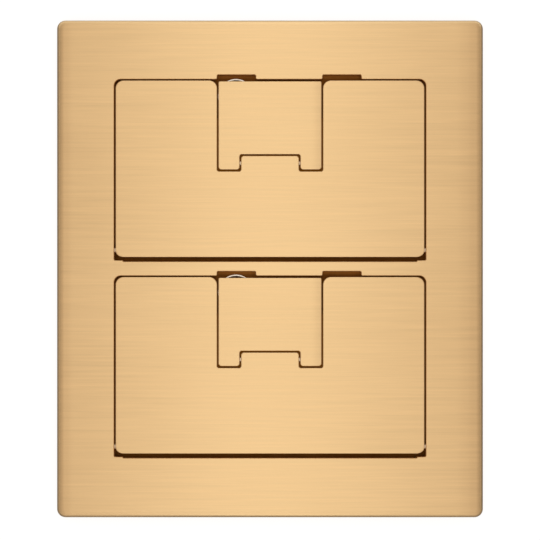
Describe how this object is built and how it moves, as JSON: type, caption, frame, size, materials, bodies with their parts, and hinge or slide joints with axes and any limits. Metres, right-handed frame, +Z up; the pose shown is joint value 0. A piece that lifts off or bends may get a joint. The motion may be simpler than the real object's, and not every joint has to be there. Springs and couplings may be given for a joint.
{
  "type": "floor box cover",
  "caption": "Rectangular brass floor box cover: hinged lids lie flush in its bays, and each lid holds a smaller hinged cord door astride a tongue.",
  "frame": {"origin": "middle of the underside, which lies on the floor line", "axes": "+X along the hinge pins, +Y from the lower bay to the upper bay (towards the lids' free edges), +Z up out of the floor"},
  "size_m": [0.1524, 0.1778, 0.0078],
  "materials": {
    "frame_brass": "brushed, fine streaks along X",
    "support_brass": "plain milled, duller than the front",
    "lid_brass": "brushed, fine streaks along X",
    "door_brass": "brushed, fine streaks along X",
    "gasket_rubber": "matt black",
    "pin_brass": "plain turned brass rod",
    "screw_steel": "zinc-plated steel",
    "cup_nickel": "nickel-plated steel",
    "magnet_ferrite": "dark sintered ferrite",
    "strike_steel": "ground steel"
  },
  "bodies": {
    "cover": {"frame": "frame_brass", "support_plate": "support_brass", "flange_gasket": "gasket_rubber", "support_screws": "screw_steel", "upper_door_catch_cup": "cup_nickel", "upper_door_catch_magnet": "magnet_ferrite", "upper_lid_catch_cup": "cup_nickel", "upper_lid_catch_magnet": "magnet_ferrite", "lower_door_catch_cup": "cup_nickel", "lower_door_catch_magnet": "magnet_ferrite", "lower_lid_catch_cup": "cup_nickel", "lower_lid_catch_magnet": "magnet_ferrite"},
    "upper_lid": {"upper_lid": "lid_brass", "upper_lid_pins": "pin_brass", "upper_axle_keeper": "support_brass", "upper_keeper_screws": "screw_steel", "upper_lid_strike": "strike_steel"},
    "upper_cord_door": {"upper_cord_door": "door_brass", "upper_door_axle": "pin_brass", "upper_door_strike": "strike_steel"},
    "lower_lid": {"lower_lid": "lid_brass", "lower_lid_pins": "pin_brass", "lower_axle_keeper": "support_brass", "lower_keeper_screws": "screw_steel", "lower_lid_strike": "strike_steel"},
    "lower_cord_door": {"lower_cord_door": "door_brass", "lower_door_axle": "pin_brass", "lower_door_strike": "strike_steel"}
  },
  "joints": [
    {"name": "upper_lid_hinge", "type": "hinge", "parent": "cover", "child": "upper_lid", "pos_m": [0, 0.0067, 0.00586], "axis": [1, 0, 0], "range_deg": [0, 120]},
    {"name": "upper_cord_door_hinge", "type": "hinge", "parent": "upper_lid", "child": "upper_cord_door", "pos_m": [0, 0.0378, 0.00586], "axis": [1, 0, 0], "range_deg": [0, 110]},
    {"name": "lower_lid_hinge", "type": "hinge", "parent": "cover", "child": "lower_lid", "pos_m": [0, -0.0635, 0.00586], "axis": [1, 0, 0], "range_deg": [0, 120]},
    {"name": "lower_cord_door_hinge", "type": "hinge", "parent": "lower_lid", "child": "lower_cord_door", "pos_m": [0, -0.0324, 0.00586], "axis": [1, 0, 0], "range_deg": [0, 110]}
  ]
}
